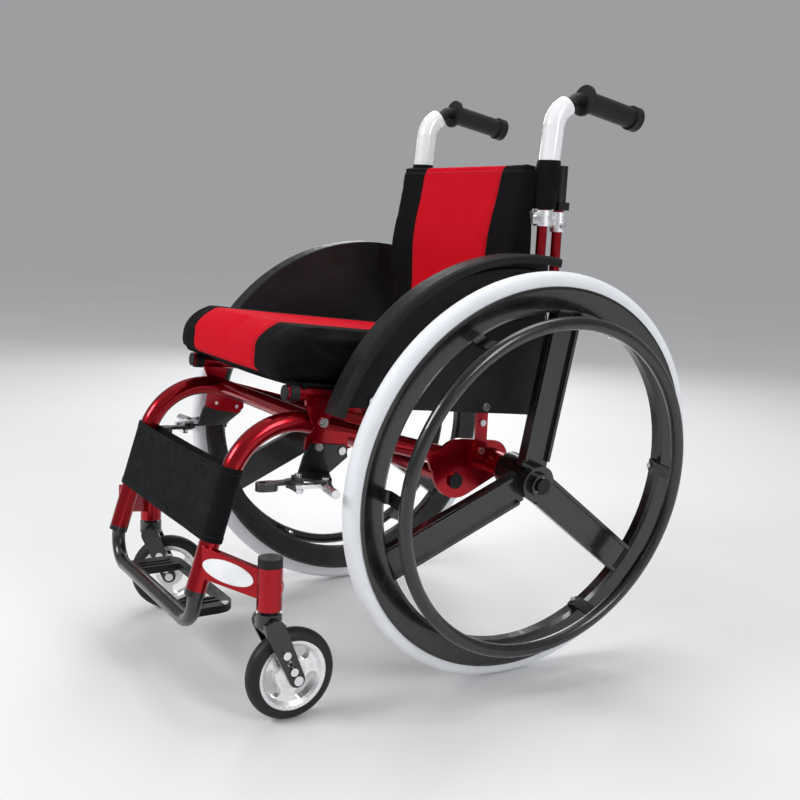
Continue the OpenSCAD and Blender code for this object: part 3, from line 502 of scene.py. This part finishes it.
def make_cushion():
    obj = solid_from("cushion", cushion_body)
    remeshed(obj, CUSHION_VOXEL)
    inflated(obj, CUSHION_PUFF)
    for v in obj.data.vertices:
        p = v.co
        across = p.x / CUSHION_X
        along = (p.y - CUSHION_Y[0]) / (CUSHION_Y[1] - CUSHION_Y[0])
        high = (p.z - CUSHION_Z[0]) / (CUSHION_Z[1] - CUSHION_Z[0])
        if high > 0.4:
            p.z -= 0.004 * (1 - across**2) * math.sin(math.pi * min(1, max(0, along)))
            p.z -= 0.0015 * (noise.noise(Vector((p.x * 14, p.y * 11, 3))) + 0.3)
        if 0.05 < high < 0.9 and abs(across) > 0.9:
            p.x += 0.0018 * noise.noise(Vector((2, p.y * 22, p.z * 30)))
        p.x = max(-CUSHION_X - 0.004, min(CUSHION_X + 0.004, p.x))
        p.y = max(CUSHION_Y[0] - 0.003, min(CUSHION_Y[1] + 0.003, p.y))
        p.z = max(CUSHION_Z[0] + 0.0005, min(CUSHION_Z[1] + 0.002, p.z))
    subdivided(obj)
    mesh = taken_mesh(obj)
    for v, n in with_normals(mesh):
        p = v.co
        seam = max(dip(p.x - edge, CUSHION_SEAM) for edge in CUSHION_BAND)
        base = dip(p.z - (CUSHION_Z[0] + 0.006), CUSHION_SEAM) if abs(n.z) < 0.9 else 0
        v.co = p - n * CUSHION_SEAM_DEPTH * max(seam, base)
    lines = []
    for edge in CUSHION_BAND:
        for offset in (-CUSHION_THREAD_OFFSET, CUSHION_THREAD_OFFSET):
            outline = rounded_outline(CUSHION_Y, CUSHION_Z, CUSHION_RADII, 24)
            outline = [spot for spot in outline if spot[1].z > -0.3]
            dense = []
            for (p, n), (q, m) in zip(outline, outline[1:]):
                parts = max(1, int((q - p).length / 0.006))
                for k in range(parts):
                    t = k / parts
                    dense.append((p.lerp(q, t), n.lerp(m, t).normalized()))
            starts = [p + n * 0.02 + Vector((edge + offset, 0, 0)) for p, n in dense]
            lines.append(surface_line(mesh, starts, [-n for _, n in dense], 0.06))
    mesh.transform(SEAT)
    lines = [[SEAT @ p for p in line] for line in lines]
    piece = link("cushion_pad", mesh, "cushion", "frame")
    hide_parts("seat_cushion")
    stitches("cushion_stitches", lines, "frame")


make_cushion()


# ---------------------------------------------------------------- seat sling


def make_sling():
    half, front, rear = 0.182, 0.020, 0.358
    rail_radius, half_cloth = 0.0110, 0.0017
    top = rail_radius + half_cloth
    across, along = 60, 56
    free, sag_depth = 0.160, 0.0035

    def sag(x):
        return max(0.0, 1 - (abs(x) / free) ** 2)

    def build(bm):
        grid = []
        for j in range(along + 1):
            y = front + (rear - front) * j / along
            row = []
            for i in range(across + 1):
                x = -half + 2 * half * i / across
                wave = noise.noise(Vector((x * 9, y * 16, 5)))
                z = top - sag(x) * (sag_depth + 0.002 * wave)
                row.append(bm.verts.new((x, y, z)))
            grid.append(row)
        for a, b in zip(grid, grid[1:]):
            for i in range(across):
                bm.faces.new((a[i], a[i + 1], b[i + 1], b[i]))

    obj = solid_from("sling", build)
    mod = obj.modifiers.new("thick", "SOLIDIFY")
    mod.thickness, mod.offset = 0.0024, 0.0
    apply_modifiers(obj)
    mesh = taken_mesh(obj)
    mesh.transform(SEAT)
    piece = link("seat_sling_cloth", mesh, "black_fabric", "frame")
    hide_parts("seat_sling")
    for y in (front + 0.004, rear - 0.004):

        def roll(bm, y=y):
            spots = [-half + 2 * half * k / 40 for k in range(41)]
            points = [Vector((x, y, top - 0.003 - sag(x) * sag_depth)) for x in spots]
            tube_along(bm, points, 0.0032, 10)

        mesh = taken_mesh(solid_from("hem", roll))
        mesh.transform(SEAT)
        name = "sling_hem_front" if y < 0.1 else "sling_hem_rear"
        link(name, mesh, "black_fabric", "frame")


make_sling()


# ---------------------------------------------------------------- calf strap

# The left side tube's middle line, below its knee
TUBE_FOOT = Vector((0.165, AXLE_Y - 0.465, 0.171))
TUBE_KNEE = Vector((0.165, AXLE_Y - 0.395, 0.4114))


def make_calf_strap():
    height, start, mid_r, half = 0.102, 0.067, 0.0152, 0.165
    lean = math.atan2(TUBE_KNEE.y - TUBE_FOOT.y, TUBE_KNEE.z - TUBE_FOOT.z)
    place = Matrix.Translation((0, TUBE_FOOT.y, TUBE_FOOT.z)) @ Matrix.Rotation(-lean, 4, "X")
    straight, turn, rows = 64, 20, 22
    path = []
    for k in range(straight + 1):
        path.append((Vector((-half + 2 * half * k / straight, -mid_r, 0)), Vector((0, -1, 0))))
    for k in range(1, turn):
        a = -math.pi / 2 + math.pi * k / turn
        n = Vector((math.cos(a), math.sin(a), 0))
        path.append((Vector((half, 0, 0)) + n * mid_r, n))
    for k in range(straight + 1):
        path.append((Vector((half - 2 * half * k / straight, mid_r, 0)), Vector((0, 1, 0))))
    for k in range(1, turn):
        a = math.pi / 2 + math.pi * k / turn
        n = Vector((math.cos(a), math.sin(a), 0))
        path.append((Vector((-half, 0, 0)) + n * mid_r, n))

    def surface(p, n, t, extra=0.0):
        free = max(0.0, 1 - (abs(p.x) / 0.15) ** 4)
        fold = noise.noise(Vector((p.x * 13 + n.y, t * 1.6, 2))) * 0.0022
        fold += noise.noise(Vector((p.x * 42, t * 3.2 + n.y, 8))) * 0.0007
        hollow = -0.004 * free * math.sin(math.pi * t) * (1 if n.y < 0 else 0.6)
        droop = -0.0025 * free * t
        return p + n * (free * fold + hollow + extra) + Vector((0, 0, start + t * height + droop))

    def build(bm):
        grid = []
        for j in range(rows + 1):
            t = j / rows
            hem = 0.0006 if t < 0.09 or t > 0.91 else 0.0
            grid.append([bm.verts.new(surface(p, n, t, hem)) for p, n in path])
        for a, b in zip(grid, grid[1:]):
            skin(bm, a, b)

    obj = solid_from("strap", build)
    mod = obj.modifiers.new("thick", "SOLIDIFY")
    mod.thickness, mod.offset = 0.0016, 0.0
    apply_modifiers(obj)
    subdivided(obj)
    mesh = taken_mesh(obj)
    mesh.transform(place)
    piece = link("calf_strap_band", mesh, "black_fabric", "frame")
    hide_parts("calf_strap")
    lines = []
    for t in (0.075, 0.925):
        lines.append([place @ surface(p, n, t, 0.0016) for p, n in path])
    rows_of_thread = stitches("calf_strap_stitches", lines, "frame")


make_calf_strap()


# ---------------------------------------------------------------- backrest

BACK_FRONT = AXLE_Y + 0.042
BACK_HALF, BACK_NARROW, BACK_STEP_Z = 0.178, 0.162, 0.562
BACK_VOXEL = 0.004
BACK_PUFF = 0.004
BACK_DEPTH = 0.0165
HEM_Z = BACK_TOP - 0.012

# How far the padding bulges forward, and how far below the top it reaches that
LUMBAR_DEPTH, LUMBAR_RISE = 0.021, 0.145

# Below the sleeves the cover's rear stays ahead of this, clear of the canes
COVER_REAR_Y = AXLE_Y + 0.0605

# The push tubes pass PUSH_X, PUSH_Y at height PUSH_LOW, and lean back by PUSH_LEAN over PUSH_RISE
PUSH_X, PUSH_Y, PUSH_LEAN, PUSH_LOW, PUSH_RISE = 0.176, AXLE_Y + 0.0775, 0.0055, 0.693, 0.074
SLEEVE_LOW, SLEEVE_TOP = 0.6935, 0.767
SLEEVE_BORE, SLEEVE_RADIUS = 0.01665, 0.0184


def slab(bm, x, y, z):
    """A box between the two values given for each axis."""
    for v in bmesh.ops.create_cube(bm, size=1)["verts"]:
        v.co = Vector([low + (c + 0.5) * (high - low) for c, (low, high) in zip(v.co, (x, y, z))])


def band_edge(z):
    """Half the red band's width at height z."""
    return BACK_BAND_LOW + (BACK_BAND_HIGH - BACK_BAND_LOW) * (z - BACK_LOW) / (BACK_TOP - BACK_LOW)


def back_body(bm):
    """Slabs of the cover, each a little inside it so that it can puff up."""
    inner = 0.002
    y = (BACK_FRONT + inner, BACK_FRONT + BACK_DEPTH)
    slab(bm, (-BACK_HALF + inner, BACK_HALF - inner), y, (BACK_STEP_Z, BACK_TOP - inner))
    slab(bm, (-BACK_NARROW + inner, BACK_NARROW - inner), y, (BACK_LOW + inner, BACK_STEP_Z + 0.006))
    slab(bm, (-0.150, 0.150), (y[0], y[1] + 0.002), (BACK_LOW + 0.004, BACK_TOP - 0.006))
    for side in (-1, 1):
        across = sorted((side * 0.158, side * (BACK_HALF - inner)))
        slab(bm, across, (y[0], BACK_FRONT + 0.026), (SLEEVE_LOW + 0.004, BACK_TOP - 0.005))


def lumbar(z):
    """0 at the top edge, rising to 1 where the padding is thickest."""
    return smooth(max(0.0, min(1.0, (BACK_TOP - z) / LUMBAR_RISE)))


def make_back():
    obj = solid_from("back", back_body)
    remeshed(obj, BACK_VOXEL)
    inflated(obj, BACK_PUFF)
    for v in obj.data.vertices:
        p = v.co
        across = min(1.0, abs(p.x) / 0.165)
        depth = max(0.0, min(1.0, (p.y - BACK_FRONT) / BACK_DEPTH))
        p.y += 0.006 * (1 - across**2) - LUMBAR_DEPTH * lumbar(p.z) * (1 - depth)
        outer = max(0.0, min(1.0, (abs(p.x) - 0.115) / 0.055))
        p.x *= 1 + outer * (0.028 * lumbar(p.z) - 0.035 * max(0.0, (p.z - 0.735) / 0.030))
        low = max(0.0, 1 - (p.z - BACK_LOW) / 0.09)
        p.y += 0.0016 * noise.noise(Vector((p.x * 16, 1, p.z * 9)))
        p.y += 0.0022 * low * noise.noise(Vector((p.x * 30, 4, p.z * 26)))
        if abs(p.x) > 0.150 and p.z < SLEEVE_LOW:
            p.y = min(COVER_REAR_Y, p.y)
    subdivided(obj)
    mesh = taken_mesh(obj)
    for v, n in with_normals(mesh):
        p = v.co
        seam = dip(abs(p.x) - band_edge(p.z), 0.0045)
        hem = dip(p.z - HEM_Z, 0.004)
        v.co = p - n * 0.0014 * max(seam, hem)
    rearwards, thread_offset = Vector((0, 1, 0)), 0.0045
    lines = []
    for side in (-1, 1):
        for offset in (-thread_offset, thread_offset):
            spots = []
            for k in range(61):
                z = BACK_LOW + 0.006 + (BACK_TOP - BACK_LOW - 0.012) * k / 60
                spots.append(Vector((side * (band_edge(z) + offset), 0, z)))
            lines.append(surface_line(mesh, spots, [rearwards] * len(spots), 0.3))
    spots = [Vector((-0.168 + 0.336 * k / 80, 0, HEM_Z - thread_offset)) for k in range(81)]
    lines.append(surface_line(mesh, spots, [rearwards] * len(spots), 0.3))
    stitches("back_stitches", lines, "backrest")
    piece = link("back_cover", mesh, "back", "backrest")
    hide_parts("back_upholstery")


def sleeve_radius(t, angle):
    """Cloth round a push tube, with folds where it is drawn in at its ends."""
    gathered = dip(t, 0.16) + dip(t - 1, 0.16)
    folds = 0.0005 * math.sin(5 * angle + 9 * t) + 0.0004 * math.sin(11 * angle - 5 * t)
    return SLEEVE_RADIUS + folds - 0.0009 * gathered


def make_sleeves():
    for side, name in ((1, "left"), (-1, "right")):

        def build(bm, side=side):
            count, rows = 56, 26
            outer, inner = [], []
            for j in range(rows + 1):
                t = j / rows
                z = SLEEVE_LOW + (SLEEVE_TOP - SLEEVE_LOW) * t
                y = PUSH_Y + PUSH_LEAN * (z - PUSH_LOW) / PUSH_RISE
                ring, bore = [], []
                for k in range(count):
                    a = 2 * math.pi * k / count
                    way = Vector((math.cos(a), math.sin(a), 0))
                    middle = Vector((side * PUSH_X, y, z))
                    ring.append(bm.verts.new(middle + way * sleeve_radius(t, a)))
                    bore.append(bm.verts.new(middle + way * SLEEVE_BORE))
                outer.append(ring)
                inner.append(bore)
            for rings in (outer, inner):
                for a, b in zip(rings, rings[1:]):
                    skin(bm, a, b)
            skin(bm, outer[0], inner[0])
            skin(bm, outer[-1], inner[-1])

        obj = solid_from("sleeve", build)
        subdivided(obj)
        mesh = taken_mesh(obj)
        piece = link(f"back_sleeve_{name}", mesh, "black_fabric", "backrest")


make_back()
make_sleeves()


# ---------------------------------------------------------------- studio

FLOOR_SIZE = 40.0


def make_floor():
    bm = bmesh.new()
    bmesh.ops.create_grid(bm, x_segments=8, y_segments=8, size=FLOOR_SIZE / 2)
    mesh = bpy.data.meshes.new("floor")
    bm.to_mesh(mesh)
    bm.free()
    floor = bpy.data.objects.new("floor", mesh)
    bpy.context.scene.collection.objects.link(floor)
    s = Shader("floor", (0.80, 0.80, 0.805), 0.6)
    cloudy = s.spread(s.noise(1.2, 3), 0.3, 0.7, 0.0, 1.0)
    s.link(s.mix(cloudy, (0.79, 0.79, 0.795), (0.82, 0.82, 0.825)), "Base Color")
    mesh.materials.append(s.mat)


# Name, place, width and height, and power in watts; all point at LAMP_TARGET
LAMPS = (
    ("key", (-0.4, -3.0, 2.3), (1.4, 0.9), 62),
    ("side", (3.2, 0.4, 2.0), (0.9, 1.8), 42),
    ("top", (-0.3, 0.6, 3.0), (1.6, 1.6), 28),
    ("back", (-2.6, 1.6, 1.6), (1.2, 1.6), 30),
)
LAMP_TARGET = Vector((0, 0, 0.45))
WORLD_COLOR, WORLD_STRENGTH = (0.80, 0.81, 0.83, 1), 0.42
SKY_STRENGTH, SKY_ANGLE = 0.25, math.radians(80)


def lamp(name, spot, size, power):
    data = bpy.data.lights.new(name, "AREA")
    data.shape, data.size, data.size_y = "RECTANGLE", size[0], size[1]
    data.energy = power
    obj = bpy.data.objects.new(name, data)
    bpy.context.scene.collection.objects.link(obj)
    obj.location = spot
    obj.rotation_euler = (LAMP_TARGET - Vector(spot)).to_track_quat("-Z", "Y").to_euler()


def make_lights():
    world = bpy.data.worlds.new("studio")
    bpy.context.scene.world = world
    world.use_nodes = True
    background = world.node_tree.nodes["Background"]
    background.inputs["Color"].default_value = WORLD_COLOR
    background.inputs["Strength"].default_value = WORLD_STRENGTH
    for settings in LAMPS:
        lamp(*settings)
    sky = bpy.data.lights.new("sky", "SUN")
    sky.energy, sky.angle = SKY_STRENGTH, SKY_ANGLE
    bpy.context.scene.collection.objects.link(bpy.data.objects.new("sky", sky))


# Solved from the photograph; cameras with 5 to 7.6 degrees of camber fit it about as well as this one
CAMERA = {"azimuth": 58.0, "pitch": 7.43, "roll": 2.43, "lens": 48.69, "spot": (1.474, -0.8915, 0.670)}
SHIFT_Y = -0.05
SENSOR_WIDTH = 36.0


def make_camera():
    a, e, r = (math.radians(CAMERA[k]) for k in ("azimuth", "pitch", "roll"))
    back = Vector((math.sin(a) * math.cos(e), -math.cos(a) * math.cos(e), math.sin(e)))
    right = Vector((math.cos(a), math.sin(a), 0))
    up = back.cross(right)
    right, up = right * math.cos(r) + up * math.sin(r), up * math.cos(r) - right * math.sin(r)
    data = bpy.data.cameras.new("camera")
    data.lens, data.sensor_width, data.shift_y = CAMERA["lens"], SENSOR_WIDTH, SHIFT_Y
    data.clip_start, data.clip_end = 0.05, 100
    cam = bpy.data.objects.new("camera", data)
    bpy.context.scene.collection.objects.link(cam)
    turn = Matrix((right, up, back)).transposed().to_4x4()
    cam.matrix_world = Matrix.Translation(CAMERA["spot"]) @ turn
    bpy.context.scene.camera = cam


make_floor()
make_lights()
make_camera()

# The default view transform washed the colours out against the photograph
bpy.context.scene.view_settings.view_transform = "Standard"
